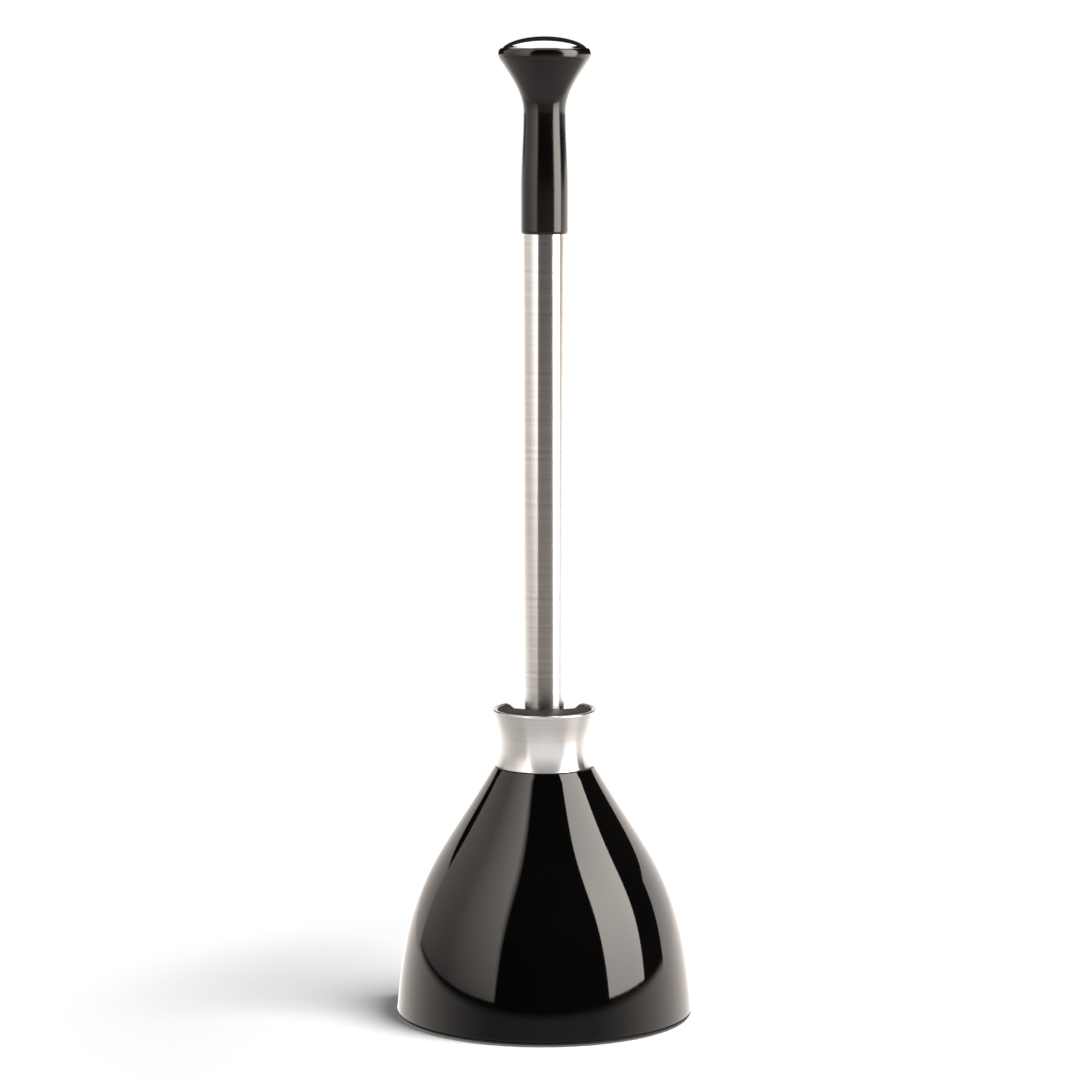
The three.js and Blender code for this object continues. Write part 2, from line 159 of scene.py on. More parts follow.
def round_point(radius, angle, z, axis=CADDY_AXIS):
    """The point at an angle from the front, round an upright axis."""
    return (axis[0] + radius * math.sin(angle), axis[1] - radius * math.cos(angle), z)


# ------------------------------------------------------------------ grids and meshes


def turned(outline, sides=ROUND, axis=CADDY_AXIS):
    """Grid of an outline of (radius, z) turned round an upright axis."""
    angles = np.linspace(-math.pi, math.pi, sides + 1)
    return [[round_point(r, a, z, axis) for a in angles] for r, z in outline]


def open_shell(stations, edges, columns, lip):
    """Grid of a turned wall that doesn't go all the way round, with rounded ends.

    Each station pairs the wall's outer and inner (radius, z), and edges gives the two
    angles where the wall ends, for a radius and a height.
    """
    quarter = np.linspace(0, math.pi / 2, 4)
    rows = []
    for (outer, outer_z), (inner, inner_z) in stations:
        wall = math.hypot(outer - inner, outer_z - inner_z)
        edge = min(lip, 0.45 * wall)

        def place(depth, inset, share):
            part = depth / wall if wall > 1e-9 else 0
            radius = outer + (inner - outer) * part
            z = outer_z + (inner_z - outer_z) * part
            low, high = edges(radius, z)
            low += inset / radius
            high -= inset / radius
            return round_point(radius, low + (high - low) * share, z)

        corner = [(edge * (1 - math.cos(a)), edge * (1 - math.sin(a))) for a in quarter]
        loop = [place(0, edge, s) for s in np.linspace(0, 1, columns)]
        loop += [place(d, e, 1) for d, e in corner[1:]]
        loop += [place(wall - d, e, 1) for d, e in reversed(corner)]
        loop += [place(wall, edge, s) for s in np.linspace(1, 0, columns)[1:]]
        loop += [place(wall - d, e, 0) for d, e in corner[1:]]
        loop += [place(d, e, 0) for d, e in reversed(corner)]
        rows.append(loop)
    return rows


def slot_path(inset):
    """The rod's slot through the collar in plan, from the left horn round to the right one."""
    radius = CRADLE_RADIUS + inset
    half_width = CRADLE_HALF_WIDTH + inset
    half = math.asin(min(1, half_width / radius))
    arc = [
        (radius * math.sin(a), CRADLE_CENTRE_Y - radius * math.cos(a))
        for a in np.linspace(-half, half, 240)
    ]
    side = np.linspace(0, 1, 90)[:, None]
    right = np.array(arc[-1]) * (1 - side) + np.array((HORN_X + inset, HORN_Y)) * side
    left = (right * (-1, 1))[::-1]
    return np.concatenate([left[:-1], arc, right[1:]])


def crescent(radius, levels, columns=120):
    """Grid of a crescent plate in front of the rod's slot, for (inset, z) levels from its foot up."""
    shares = np.linspace(0, 1, columns)
    outsides, insides = [], []
    for inset, z in levels:
        path = slot_path(inset)
        keep = (np.hypot(*path.T) <= radius - inset) & (path[:, 1] <= HORN_Y - inset)
        path = path[keep]
        steps = np.concatenate([[0], np.cumsum(np.hypot(*np.diff(path, axis=0).T))])
        at = shares * steps[-1]
        across, back = (np.interp(at, steps, path[:, side]) for side in (0, 1))
        inner = [(x, y, z) for x, y in zip(across, back)]
        end = math.acos(-path[0][1] / (radius - inset))
        outer = [round_point(radius - inset, a, z) for a in np.linspace(-end, end, columns)]
        outsides.append(outer)
        insides.append(inner)
    rows = outsides + insides[::-1] + [outsides[0]]
    ends = [np.mean([row[index] for row in rows[:-1]], axis=0) for index in (0, -1)]
    return [[tuple(ends[0]), *row, tuple(ends[1])] for row in rows]


def bar(length, half_width, bottom, top, fillet, angle, start):
    """Grid of a rounded rib along a radius of the caddy, from a distance out to another."""
    section = [
        (half_width, bottom),
        *[
            (half_width - fillet * (1 - math.cos(a)), top - fillet * (1 - math.sin(a)))
            for a in np.linspace(0, math.pi / 2, 5)
        ],
    ]
    section += [(-x, z) for x, z in reversed(section)]
    section.append(section[0])
    rows = []
    for place, size in ((0, 0), (0, 0.8), (fillet, 1), (length - fillet, 1), (length, 0.8), (length, 0)):
        row = []
        for x, z in section:
            across, out = x * size, start + place
            height = bottom + (z - bottom) * size
            row.append((
                out * math.sin(angle) + across * math.cos(angle),
                -out * math.cos(angle) + across * math.sin(angle),
                height,
            ))
        rows.append(row)
    return rows


def mesh_of(name, grids):
    """One mesh from grids of points in millimetres, with U and V in metres along each grid."""
    points, faces, uvs = [], [], []
    for grid in grids:
        grid = np.array(grid, float)
        count, columns = grid.shape[:2]
        steps_v = np.linalg.norm(np.diff(grid, axis=0), axis=2).mean(axis=1)
        steps_u = np.linalg.norm(np.diff(grid, axis=1), axis=2).mean(axis=0)
        v = np.concatenate([[0], np.cumsum(steps_v)]) * MM
        u = np.concatenate([[0], np.cumsum(steps_u)]) * MM
        keys = np.round(grid.reshape(-1, 3), 4) + 0.0
        unique, index = np.unique(keys, axis=0, return_inverse=True)
        index = index.reshape(count, columns) + len(points)
        points.extend(unique * MM)
        for i in range(count - 1):
            for j in range(columns - 1):
                face, at = [], []
                for a, b in ((i, j), (i, j + 1), (i + 1, j + 1), (i + 1, j)):
                    if index[a, b] not in face:
                        face.append(index[a, b])
                        at.append((u[b], v[a]))
                if len(face) > 2:
                    faces.append(face)
                    uvs.extend(at)
    mesh = bpy.data.meshes.new(name)
    mesh.from_pydata([tuple(p) for p in points], [], [[int(k) for k in f] for f in faces])
    layer = mesh.uv_layers.new(name="UVMap")
    layer.data.foreach_set("uv", np.array(uvs, np.float32).ravel())
    work = bmesh.new()
    work.from_mesh(mesh)
    bmesh.ops.recalc_face_normals(work, faces=work.faces)
    work.to_mesh(mesh)
    work.free()
    return mesh


def object_of(name, grids):
    made = bpy.data.objects.new(name, mesh_of(name, grids))
    bpy.context.scene.collection.objects.link(made)
    return made


def cut(obj, grids):
    """Takes closed grids away from an object."""
    cutter = object_of(obj.name + "_cutter", grids)
    modifier = obj.modifiers.new("cut", "BOOLEAN")
    modifier.operation = "DIFFERENCE"
    modifier.solver = "EXACT"
    modifier.object = cutter
    shown = obj.evaluated_get(bpy.context.evaluated_depsgraph_get())
    mesh = bpy.data.meshes.new_from_object(shown)
    obj.modifiers.clear()
    obj.data = mesh
    bpy.data.objects.remove(cutter)


def dress(obj, body, slot, *nodes, sharp=32, finish=None):
    """Smooths a piece, gives it its material, hides the CAD nodes it stands for, and hangs it on the body
    it rides on.

    A piece that bends between two bodies has no body here.
    """
    obj.data.shade_smooth()
    obj.data.set_sharp_from_angle(angle=math.radians(sharp))
    obj.data.materials.clear()
    obj.data.materials.append(FINISH[finish or slot])
    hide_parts(*nodes)
    if body:
        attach(obj, body)
    return obj


# ------------------------------------------------------------------ materials


def add(tree, kind, links=None, **settings):
    """A node with its settings, its inputs' values or links given by the input's name."""
    made = tree.nodes.new(kind)
    for key, value in settings.items():
        setattr(made, key, value)
    for key, value in (links or {}).items():
        if isinstance(value, bpy.types.NodeSocket):
            tree.links.new(value, made.inputs[key])
        else:
            made.inputs[key].default_value = value
    return made


def principled(name, **sockets):
    material = bpy.data.materials.new(name)
    material.use_nodes = True
    shader = material.node_tree.nodes["Principled BSDF"]
    for key, value in sockets.items():
        shader.inputs[key.replace("_", " ")].default_value = value
    return material, material.node_tree, shader


def link(tree, value, shader, socket):
    tree.links.new(value, shader.inputs[socket])


def noise(tree, where, scale, detail=3.0, roughness=0.5):
    made = add(
        tree,
        "ShaderNodeTexNoise",
        {"Vector": where, "Scale": scale, "Detail": detail, "Roughness": roughness},
    )
    return made.outputs["Fac"]


def spread(tree, value, low, high, start=0.3, end=0.7):
    """A noise value stretched from start..end to low..high."""
    links = {"Value": value, "From Min": start, "From Max": end, "To Min": low, "To Max": high}
    return add(tree, "ShaderNodeMapRange", links).outputs["Result"]


def between(tree, factor, dark, light):
    made = add(tree, "ShaderNodeMix", {"Factor": factor}, data_type="RGBA")
    made.inputs[6].default_value = (*dark, 1)
    made.inputs[7].default_value = (*light, 1)
    return made.outputs[2]


def bump(tree, height, distance, strength=1.0, normal=None):
    links = {"Height": height, "Distance": distance, "Strength": strength}
    if normal is not None:
        links["Normal"] = normal
    return add(tree, "ShaderNodeBump", links).outputs["Normal"]


def moulded(name, dark, light, rough, cloud, grain, depth, **sockets):
    """Plastic, rubber or plating: a cloudy colour and roughness over a fine grain."""
    material, tree, shader = principled(name, **sockets)
    where = add(tree, "ShaderNodeTexCoord").outputs["Object"]
    clouds = noise(tree, where, cloud, 4)
    link(tree, between(tree, spread(tree, clouds, 0, 1), dark, light), shader, "Base Color")
    scuffs = noise(tree, where, cloud * 6, 5, 0.6)
    link(tree, spread(tree, scuffs, *rough), shader, "Roughness")
    link(tree, bump(tree, noise(tree, where, grain, 2), depth), shader, "Normal")
    return material


def brushed(name, dark, light, rough, streak, depth, **sockets):
    """Steel brushed round the piece: streaks that are long in U and fine in V."""
    material, tree, shader = principled(name, Metallic=1.0, **sockets)
    uv = add(tree, "ShaderNodeTexCoord").outputs["UV"]
    long = add(tree, "ShaderNodeMapping", {"Vector": uv, "Scale": (streak[0], streak[1], 1)})
    grain = noise(tree, long.outputs["Vector"], 1.0, 5, 0.65)
    wide = add(tree, "ShaderNodeMapping", {"Vector": uv, "Scale": (streak[0] / 3, streak[1] / 6, 1)})
    bands = noise(tree, wide.outputs["Vector"], 1.0, 3)
    both = add(tree, "ShaderNodeMath", {0: grain, 1: bands}, operation="ADD").outputs[0]
    link(tree, between(tree, spread(tree, both, 0, 1, 0.75, 1.25), dark, light), shader, "Base Color")
    link(tree, spread(tree, bands, *rough), shader, "Roughness")
    link(tree, bump(tree, grain, depth), shader, "Normal")
    tangent = add(tree, "ShaderNodeTangent", direction_type="UV_MAP", uv_map="UVMap")
    link(tree, tangent.outputs["Tangent"], shader, "Tangent")
    return material


FINISH = {
    "gloss_black": moulded(
        "gloss_black", (0.0009, 0.0009, 0.0009), (0.0016, 0.0015, 0.0015),
        (0.035, 0.05), 22, 900, 0.000002, IOR=1.5,
    ),
    "grip_black": moulded(
        "grip_black", (0.0012, 0.0011, 0.0011), (0.0020, 0.0019, 0.0018),
        (0.13, 0.17), 22, 900, 0.000002, IOR=1.5,
    ),
    "matte_black": moulded(
        "matte_black", (0.0050, 0.0047, 0.0046), (0.0090, 0.0084, 0.0082),
        (0.58, 0.7), 60, 2600, 0.00004, IOR=1.36,
    ),
    "foot_rubber": moulded(
        "foot_rubber", (0.020, 0.020, 0.020), (0.034, 0.033, 0.032),
        (0.72, 0.86), 90, 3200, 0.00003, IOR=1.5,
    ),
    "head_rubber": moulded(
        "head_rubber", (0.010, 0.0098, 0.0096), (0.017, 0.0165, 0.016),
        (0.44, 0.56), 35, 1500, 0.00003, IOR=1.5,
    ),
    "brushed_steel": brushed(
        "brushed_steel", (0.60, 0.595, 0.59), (0.70, 0.695, 0.69),
        (0.21, 0.23), (14, 2600), 0.00000008, Anisotropic=0.9, Anisotropic_Rotation=0.25,
    ),
    "collar_steel": brushed(
        "collar_steel", (0.52, 0.52, 0.52), (0.60, 0.60, 0.60),
        (0.29, 0.31), (14, 2600), 0.00000008, Anisotropic=0.85, Anisotropic_Rotation=0.25,
    ),
    "polished_steel": brushed(
        "polished_steel", (0.70, 0.69, 0.68), (0.76, 0.75, 0.74),
        (0.05, 0.09), (8, 900), 0.0000002, Anisotropic=0.2, Anisotropic_Rotation=0.25,
    ),
    "plated_steel": moulded(
        "plated_steel", (0.50, 0.51, 0.53), (0.64, 0.65, 0.66),
        (0.22, 0.36), 260, 5200, 0.000008, Metallic=1.0,
    ),
    "nickel_plating": moulded(
        "nickel_plating", (0.62, 0.59, 0.53), (0.70, 0.67, 0.61),
        (0.12, 0.2), 180, 4200, 0.000004, Metallic=1.0,
    ),
}
for cad_node in frame["nodes"].values():
    for part in frame["record"]["subparts"]:
        if part["node"] == cad_node.name:
            cad_node.data.materials.clear()
            cad_node.data.materials.append(FINISH[part["material_slot"]])

# ------------------------------------------------------------------ caddy: dome and tray

TULIP = np.concatenate([
    [(OPENING_HALF_WIDTH, 0)],
    cubic(
        (OPENING_HALF_WIDTH, OPENING_STRAIGHT_TOP), (OPENING_HALF_WIDTH, 82), (46, 92),
        (math.sqrt(SHOULDER_RADIUS**2 - HORN_Y**2), SHOULDER_Z), 200,
    ),
])


def slot_angle(radius):
    """Where a circle round the caddy's axis meets the rod's slot through the collar."""

    def inside(angle):
        x, y = radius * math.sin(angle), -radius * math.cos(angle)
        if y > HORN_Y:
            return False
        share = (y - CRADLE_END_Y) / (HORN_Y - CRADLE_END_Y)
        return x > CRADLE_HALF_WIDTH + (HORN_X - CRADLE_HALF_WIDTH) * share

    return bisect(inside, math.pi / 2, math.pi)


def collar_edges(radius, z):
    angle = slot_angle(radius)
    return -angle, angle


def dome_edges(radius, z):
    """The back opening up to the shoulder, and the rod's slot above it."""
    half_width = np.interp(z, TULIP[:, 1], TULIP[:, 0])
    back = math.pi - math.asin(min(1, half_width / radius))
    slot = slot_angle(radius)
    angle = back if z < SHOULDER_Z - DOME_WALL else min(back, slot) if z <= SHOULDER_Z else slot
    return -angle, angle


def dome_stations():
    outside = cubic(*DOME_SIDE, DOME_STEPS)
    inside = moved_in(outside, DOME_WALL)
    inside[0][1] = DOME_BOTTOM
    floor_bottom = inside[-1][1]
    soft = 0.6
    foot = outside[0][0], inside[0][0]
    stations = [((sum(foot) / 2, DOME_BOTTOM), (sum(foot) / 2, DOME_BOTTOM))]
    for a in np.linspace(0, math.pi / 2, 5):
        back, rise = soft * (1 - math.sin(a)), soft * (1 - math.cos(a))
        stations.append(((foot[0] - back, DOME_BOTTOM + rise), (foot[1] + back, DOME_BOTTOM + rise)))
    pairs = [(tuple(o), tuple(i)) for o, i in zip(outside, inside) if min(o[1], i[1]) > DOME_BOTTOM + soft]
    neck_inner = NECK_RADIUS - NECK_WALL
    stations += pairs[:-1]
    stations += [
        ((SHOULDER_RADIUS - 0.1, SHOULDER_Z - 0.15), (inside[-1][0], floor_bottom)),
        ((SHOULDER_RADIUS - 0.4, SHOULDER_Z), (inside[-1][0] - 1, floor_bottom)),
        ((NECK_RADIUS + 0.6, SHOULDER_Z), (neck_inner + 1, floor_bottom)),
        ((NECK_RADIUS, SHOULDER_Z + 0.6), (neck_inner, floor_bottom + 1)),
        ((NECK_RADIUS, floor_bottom + NECK_FLOOR + 1), (neck_inner, floor_bottom + NECK_FLOOR + 1)),
        ((NECK_RADIUS, NECK_TOP - soft), (neck_inner, NECK_TOP - soft)),
    ]
    for a in np.linspace(math.pi / 8, math.pi / 2, 4):
        back, rise = soft * (1 - math.cos(a)), soft * (1 - math.sin(a))
        stations.append(((NECK_RADIUS - back, NECK_TOP - rise), (neck_inner + back, NECK_TOP - rise)))
    crown = (NECK_RADIUS + neck_inner) / 2
    stations.append(((crown, NECK_TOP), (crown, NECK_TOP)))
    return stations, floor_bottom


def boss(axis):
    top, bore = BOSS["top"], BOSS["bore"]
    outline = [
        (0, BOSS["bottom"] + BOSS["depth"]), (bore, BOSS["bottom"] + BOSS["depth"]),
        (bore, BOSS["bottom"] + 0.3), (bore + 0.3, BOSS["bottom"]),
        (BOSS["radius"] - 0.3, BOSS["bottom"]), (BOSS["radius"], BOSS["bottom"] + 0.3),
        (BOSS["radius"], top - 1), (BOSS["radius"] - 0.3, top - 0.3), (BOSS["radius"] - 1, top), (0, top),
    ]
    return turned(outline, SMALL_ROUND, axis)


screw_axes = [middle(f"base_screw_{n}") for n in range(1, 5)]
stations, floor_bottom = dome_stations()
floor_top = floor_bottom + NECK_FLOOR
plate = [(0.3, floor_bottom), (0, floor_bottom + 0.3), (0, floor_top - 0.3), (0.3, floor_top)]
dome = object_of("dome", [
    open_shell(stations, dome_edges, ROUND + 1, 0.8),
    crescent(NECK_RADIUS - NECK_WALL + 0.5, plate),
    *[boss(axis) for axis in screw_axes],
])
dress(dome, "caddy", "gloss_black", "caddy_dome", sharp=28)

TRAY_BOTTOM = heights("base_tray")[0]
TRAY_TOP = 2.4
RIM = {"outer": 84.9, "inner": 82.9, "top": heights("base_tray")[1]}
RIBS = 12


def tray_disc():
    return turned([
        (0, TRAY_BOTTOM),
        (62, TRAY_BOTTOM), (62.3, TRAY_BOTTOM + 0.25), (63.7, TRAY_BOTTOM + 0.25), (64, TRAY_BOTTOM),
        (86.2, TRAY_BOTTOM), (86.7, TRAY_BOTTOM + 0.15), (87.7, TRAY_TOP - 0.6), (87.95, TRAY_TOP - 0.3),
        (87.8, TRAY_TOP - 0.05), (87.4, TRAY_TOP),
        (20, TRAY_TOP), (19.6, TRAY_TOP - 0.3), (18.4, TRAY_TOP - 0.3), (18, TRAY_TOP), (0, TRAY_TOP),
    ])


def rim_segment(low, high):
    """A stretch of the locating rim between two angles, in degrees."""
    low, high = math.radians(low), math.radians(high)
    mean = (RIM["outer"] + RIM["inner"]) / 2
    soft = 0.5
    stations = [((mean, TRAY_TOP - 0.4),) * 2]
    stations += [((RIM["outer"], z), (RIM["inner"], z)) for z in (TRAY_TOP - 0.4, RIM["top"] - soft)]
    for a in np.linspace(math.pi / 8, math.pi / 2, 4):
        back, top = soft * (1 - math.cos(a)), RIM["top"] - soft * (1 - math.sin(a))
        stations.append(((RIM["outer"] - back, top), (RIM["inner"] + back, top)))
    stations.append(((mean, RIM["top"]),) * 2)
    return open_shell(stations, lambda radius, z: (low, high), 48, 0.5)


def pad(axis):
    top = 4.5
    return turned([
        (2.4, TRAY_TOP - 0.4), (4.4, TRAY_TOP - 0.4), (4.4, top - 0.3), (4.1, top),
        (2.2, top), (1.9, top - 0.3), (1.9, TRAY_TOP - 0.4), (2.4, TRAY_TOP - 0.4),
    ], SMALL_ROUND, axis)


foot_axes = [middle(f"rubber_foot_{n}") for n in range(1, 5)]
tray = object_of("tray", [tray_disc()])
cut(tray, [
    turned([(0, -1), (7.3, -1), (7.3, TRAY_BOTTOM + 0.8), (0, TRAY_BOTTOM + 0.8)], SMALL_ROUND, axis)
    for axis in foot_axes
])
cut(tray, [
    turned([(0, -1), (3.5, -1), (3.5, 2.0), (1.9, 2.05), (1.9, 4), (0, 4)], SMALL_ROUND, axis)
    for axis in screw_axes
])
RIM_SPANS = [(-36, 36), (44.2, 92.8), (101.2, 114.5), (-92.8, -44.2), (-114.5, -101.2)]
extras = object_of("tray_extras", [
    *[rim_segment(*span) for span in RIM_SPANS],
    *[pad(axis) for axis in screw_axes],
    *[bar(40, 0.8, TRAY_TOP - 0.4, 3.0, 0.3, 2 * math.pi * n / RIBS, 22) for n in range(RIBS)],
])
joined = bmesh.new()
joined.from_mesh(tray.data)
joined.from_mesh(extras.data)
joined.to_mesh(tray.data)
joined.free()
bpy.data.objects.remove(extras)
dress(tray, "caddy", "matte_black", "base_tray")

for number, axis in enumerate(foot_axes, 1):
    foot = object_of(f"foot_{number}", [turned([
        (0, 0.35), (2.2, 0.35), (2.6, 0), (4.2, 0), (4.6, 0.3), (5.0, 0.3),
        (5.4, 0), (6.5, 0), (6.85, 0.12), (7, 0.4), (7, 1.3), (0, 1.3),
    ], SMALL_ROUND, axis)])
    dress(foot, "caddy", "foot_rubber", f"rubber_foot_{number}")

# ------------------------------------------------------------------ screws


def screw(name, node, head_radius, head_height, shank_radius, body, up=True):
    """A pan-head screw with a cross recess and a helical thread, in its CAD solid's place."""
    axis = middle(node)
    low, high = heights(node)
    length = high - low
    pitch, depth = 1.2, 0.28
    tip = shank_radius * 1.4

    def height(z):
        return low + z if up else high - z

    head = [
        (0, 0), (head_radius * 0.75, 0.02), (head_radius * 0.93, 0.16 * head_height),
        (head_radius, 0.45 * head_height), (head_radius, head_height - 0.15),
        (head_radius - 0.15, head_height), (shank_radius, head_height),
    ]
    turns = np.linspace(-math.pi, math.pi, 37)
    rows = [[round_point(r, a, height(z), axis) for a in turns] for r, z in head]
    for z in np.linspace(head_height + 0.3, length - 0.02, 90):
        row = []
        taper = min(1, max(0.05, (length - z) / tip))
        start = min(1, (z - head_height - 0.3) / 1.0)
        for a in np.linspace(-math.pi, math.pi, 37):
            phase = (z / pitch - a / (2 * math.pi)) % 1
            groove = depth * start * (1 - abs(2 * phase - 1)) ** 1.5
            row.append(round_point((shank_radius - groove) * taper, a, height(z), axis))
        rows.append(row)
    rows.append([(*axis, height(length))] * 37)
    made = object_of(name, [rows])
    reach, half = head_radius * 0.62, head_radius * 0.13
    deep = head_height * 0.7
    for turn in (0, math.pi / 2):
        arm = []
        for z, size in ((-1, 0), (-1, 1.2), (deep, 0.55), (deep, 0)):
            row = []
            for x, y in ((-reach, -half), (reach, -half), (reach, half), (-reach, half), (-reach, -half)):
                x, y = x * size, y * size
                across = x * math.cos(turn) - y * math.sin(turn)
                along = x * math.sin(turn) + y * math.cos(turn)
                row.append((axis[0] + across, axis[1] + along, height(z)))
            arm.append(row)
        cut(made, [arm])
    return dress(made, body, "plated_steel", node)


for number in range(1, 5):
    screw(f"tray_screw_{number}", f"base_screw_{number}", 3.2, 1.3, 1.6, "caddy")
for place in ("left", "right"):
    screw(f"liner_screw_{place}", f"collar_screw_{place}", 3.0, 2.0, 1.4, "caddy")
screw("clamp_screw", "head_screw", 6.0, 3.6, 2.2, "handle")
screw("knob_screw", "grip_screw", 5.0, 3.2, 2.0, "handle", up=False)

# ------------------------------------------------------------------ collar

RING_WALL = 1.2
RING_FOOT, RING_TOP = heights("collar_ring")
WAIST = (26.6, 160)
RIM_RADIUS = 31.0
RIM_INNER = 28.3


def ring_stations():
    low = cubic((29.0, RING_FOOT), (27.2, 153.2), (WAIST[0], 156.5), WAIST, 24)
    high = cubic(WAIST, (WAIST[0], 168), (28.4, 174.5), (RIM_RADIUS, 183.2), 36)[1:]
    outside = np.concatenate([low, high])
    inside = outside - (RING_WALL, 0)
    lip = inside[:, 1] > RING_TOP - 2 * RING_WALL
    share = (inside[lip, 1] - (RING_TOP - 2 * RING_WALL)) / (2 * RING_WALL)
    inside[lip, 0] = inside[lip, 0] * (1 - np.minimum(1, share * 2)) + RIM_INNER * np.minimum(1, share * 2)
    mean = outside[0][0] - RING_WALL / 2
    soft = 0.25
    stations = [((mean, RING_FOOT),) * 2]
    for a in np.linspace(0, math.pi / 2, 4):
        back, rise = soft * (1 - math.sin(a)), soft * (1 - math.cos(a))
        stations.append((
            (outside[0][0] - back, RING_FOOT + rise),
            (inside[0][0] + back, RING_FOOT + rise),
        ))
    stations += [(tuple(o), tuple(i)) for o, i in zip(outside, inside) if o[1] > RING_FOOT + soft]
    top_outer = outside[-1][0]
    for a in np.linspace(math.pi / 8, math.pi / 2, 4):
        rise = (RING_TOP - 183.2) * math.sin(a)
        back = 0.7 * (1 - math.cos(a))
        stations.append(((top_outer - back, 183.2 + rise), (RIM_INNER + back * 0.6, 183.2 + rise)))
    mean = (top_outer + RIM_INNER) / 2
    stations.append(((mean, RING_TOP),) * 2)
    return stations


ring = object_of("ring", [open_shell(ring_stations(), collar_edges, ROUND + 1, 0.4)])
dress(ring, "caddy", "brushed_steel", "collar_ring", sharp=40, finish="collar_steel")

LINER_BOTTOM, LINER_TOP = heights("collar_liner")
FLANGE_BOTTOM = NECK_TOP + 0.3
flange_levels = [
    (0.3, FLANGE_BOTTOM), (0, FLANGE_BOTTOM + 0.3), (0, LINER_TOP - 0.7),
    (0.15, LINER_TOP - 0.35), (0.4, LINER_TOP - 0.1), (0.8, LINER_TOP),
]
body_levels = [
    (0.3, LINER_BOTTOM), (0, LINER_BOTTOM + 0.3), (0, FLANGE_BOTTOM + 0.2), (0.1, FLANGE_BOTTOM + 0.3),
]
liner = object_of("liner", [crescent(22.1, body_levels), crescent(28.0, flange_levels, 160)])
magnet_low, magnet_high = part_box("magnet_keeper")
pocket_front = magnet_low.y / MM - 0.3
pocket_back = CRADLE_FRONT_Y - 1.4
POCKET_HALF = 6.3
CUT_FROM = 140  # where the pocket's and bores' cutters start, below the liner
pocket_top = magnet_high.z / MM + 0.3
corners = [(-POCKET_HALF, pocket_front), (POCKET_HALF, pocket_front)]
corners += [(POCKET_HALF, pocket_back), (-POCKET_HALF, pocket_back), (-POCKET_HALF, pocket_front)]
pocket = [[(x, y, z) for x, y in corners] for z in (CUT_FROM, pocket_top)]
pocket = [[(0, -5, CUT_FROM)] * 5, *pocket, [(0, -5, pocket_top)] * 5]
bore_top = LINER_BOTTOM + 14
bore_outline = [(0, CUT_FROM), (1.7, CUT_FROM), (1.7, bore_top), (0, bore_top)]
bores = [turned(bore_outline, SMALL_ROUND, middle(f"collar_screw_{p}")) for p in ("left", "right")]
cut(liner, [pocket, *bores])
dress(liner, "caddy", "matte_black", "collar_liner", sharp=35)

# ------------------------------------------------------------------ rubber head

HEAD_BOTTOM, HEAD_TOP = heights("rubber_head")
SOCKET = 12.8


def head_outline():
    flange = cubic((38.5, HEAD_BOTTOM), (41, 18), (45, 34), (54, 35), 30)
    lip = [
        (58, 34.9), (61.4, 34.5), (63.2, 33.3), (64.6, 31.2), (65.2, 29.4), (65.2, 21.2),
        (65.6, 19.2), (66.5, 18.4), (67.4, 18.3), (68.3, 18.8), (68.9, 19.8),
    ]
    bell = cubic((69, 20.9), (69, 55), (34, 84), (19.5, 100), 70)
    hub = [
        (18.6, 101.8), (18.15, 103.6), (18, 105.4), (17.86, 109), (17.8, 110.2), (17.3, 110.6),
        (17.3, 112.2), (17.74, 112.6), (17.64, 116.6), (17.1, 117.0), (17.1, 118.6), (17.58, 119),
        (17.5, 125.6), (17.7, 126.7), (18.3, 127.6), (18.7, 128.3), (18.8, 129), (18.8, 131.2),
        (18.6, 131.9), (18.1, 132.6), (17.3, HEAD_TOP),
    ]
    bore = [(13.5, HEAD_TOP), (13.0, 132.8), (SOCKET, 132.3), (SOCKET, 106), (3.3, 106), (3.3, 98)]
    inside = cubic((15, 98), (36, 80), (64, 52), (56, 39), 60)
    under = cubic((56, 39), (43, 37), (37.5, 18), (35.5, HEAD_BOTTOM + 0.8), 34)[1:]
    foot = HEAD_BOTTOM
    edge = [(35.6, foot + 0.3), (36.1, foot), (37.8, foot), (38.35, foot + 0.25)]
    closed = [*edge, *flange[1:], *lip, *bell, *hub, *bore, *inside, *under, edge[0]]
    return [tuple(p) for p in closed]


head = object_of("bell", [turned(head_outline(), ROUND, ROD_AXIS)])
dress(head, None, "head_rubber", "rubber_head", sharp=50)

# ------------------------------------------------------------------ rod, washer, grip and cap

bore = ROD_RADIUS - ROD_WALL
rod = object_of("rod", [turned(filleted([
    (bore, ROD_BOTTOM, 0.3), (ROD_RADIUS, ROD_BOTTOM, 0.3),
    (ROD_RADIUS, ROD_TOP, 0.3), (bore, ROD_TOP, 0.3),
]), MIDDLE_ROUND, ROD_AXIS)])
dress(rod, "handle", "brushed_steel", "rod_tube", sharp=50)

washer_bottom, washer_top = heights("head_washer")
washer = object_of("washer", [turned(filleted([
    (2.5, washer_bottom, 0.2), (13, washer_bottom, 0.5), (13, washer_top, 0.3), (2.5, washer_top, 0.2),
]), MIDDLE_ROUND, ROD_AXIS)])
dress(washer, "handle", "plated_steel", "head_washer")

GRIP_BOTTOM, GRIP_TOP = heights("grip")


